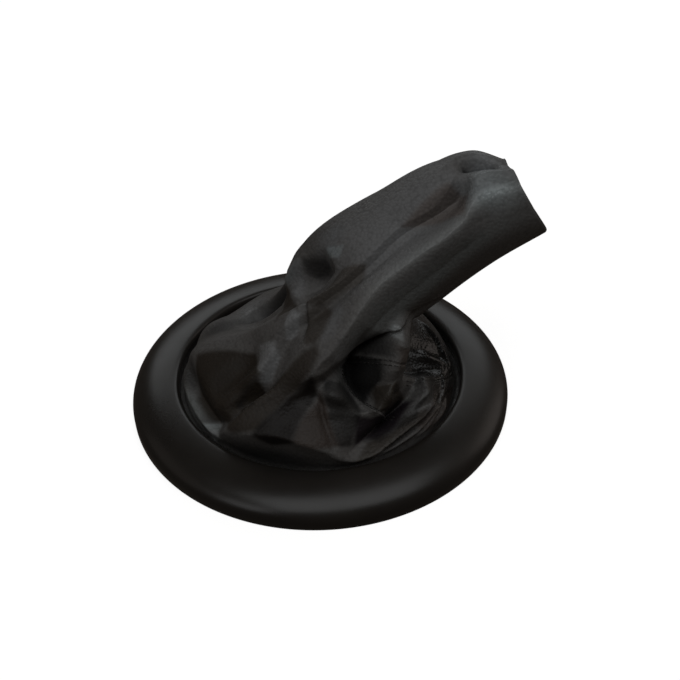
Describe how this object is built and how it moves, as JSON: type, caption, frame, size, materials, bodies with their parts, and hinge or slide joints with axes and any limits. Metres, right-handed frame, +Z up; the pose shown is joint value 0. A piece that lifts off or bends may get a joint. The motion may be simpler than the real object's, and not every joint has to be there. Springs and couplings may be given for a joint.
{
  "type": "gear lever gaiter",
  "caption": "Soft leather gear lever boot with deep folds, leaning to one side, clamped in a round moulded trim ring.",
  "frame": {"origin": "centre of the trim ring on the plane of its foot, where it meets the console", "axes": "+Z up out of the console along the ring's axis; +X towards the side that the boot's neck leans to"},
  "size_m": [0.1571, 0.15, 0.0997],
  "materials": {
    "trim_plastic": "satin, moulded",
    "gaiter_leather": "grained, soft sheen",
    "retainer_plastic": "matt, moulded"
  },
  "bodies": {
    "root": {"trim_ring": "trim_plastic", "leather_gaiter": "gaiter_leather", "retaining_ring": "retainer_plastic"}
  },
  "joints": []
}
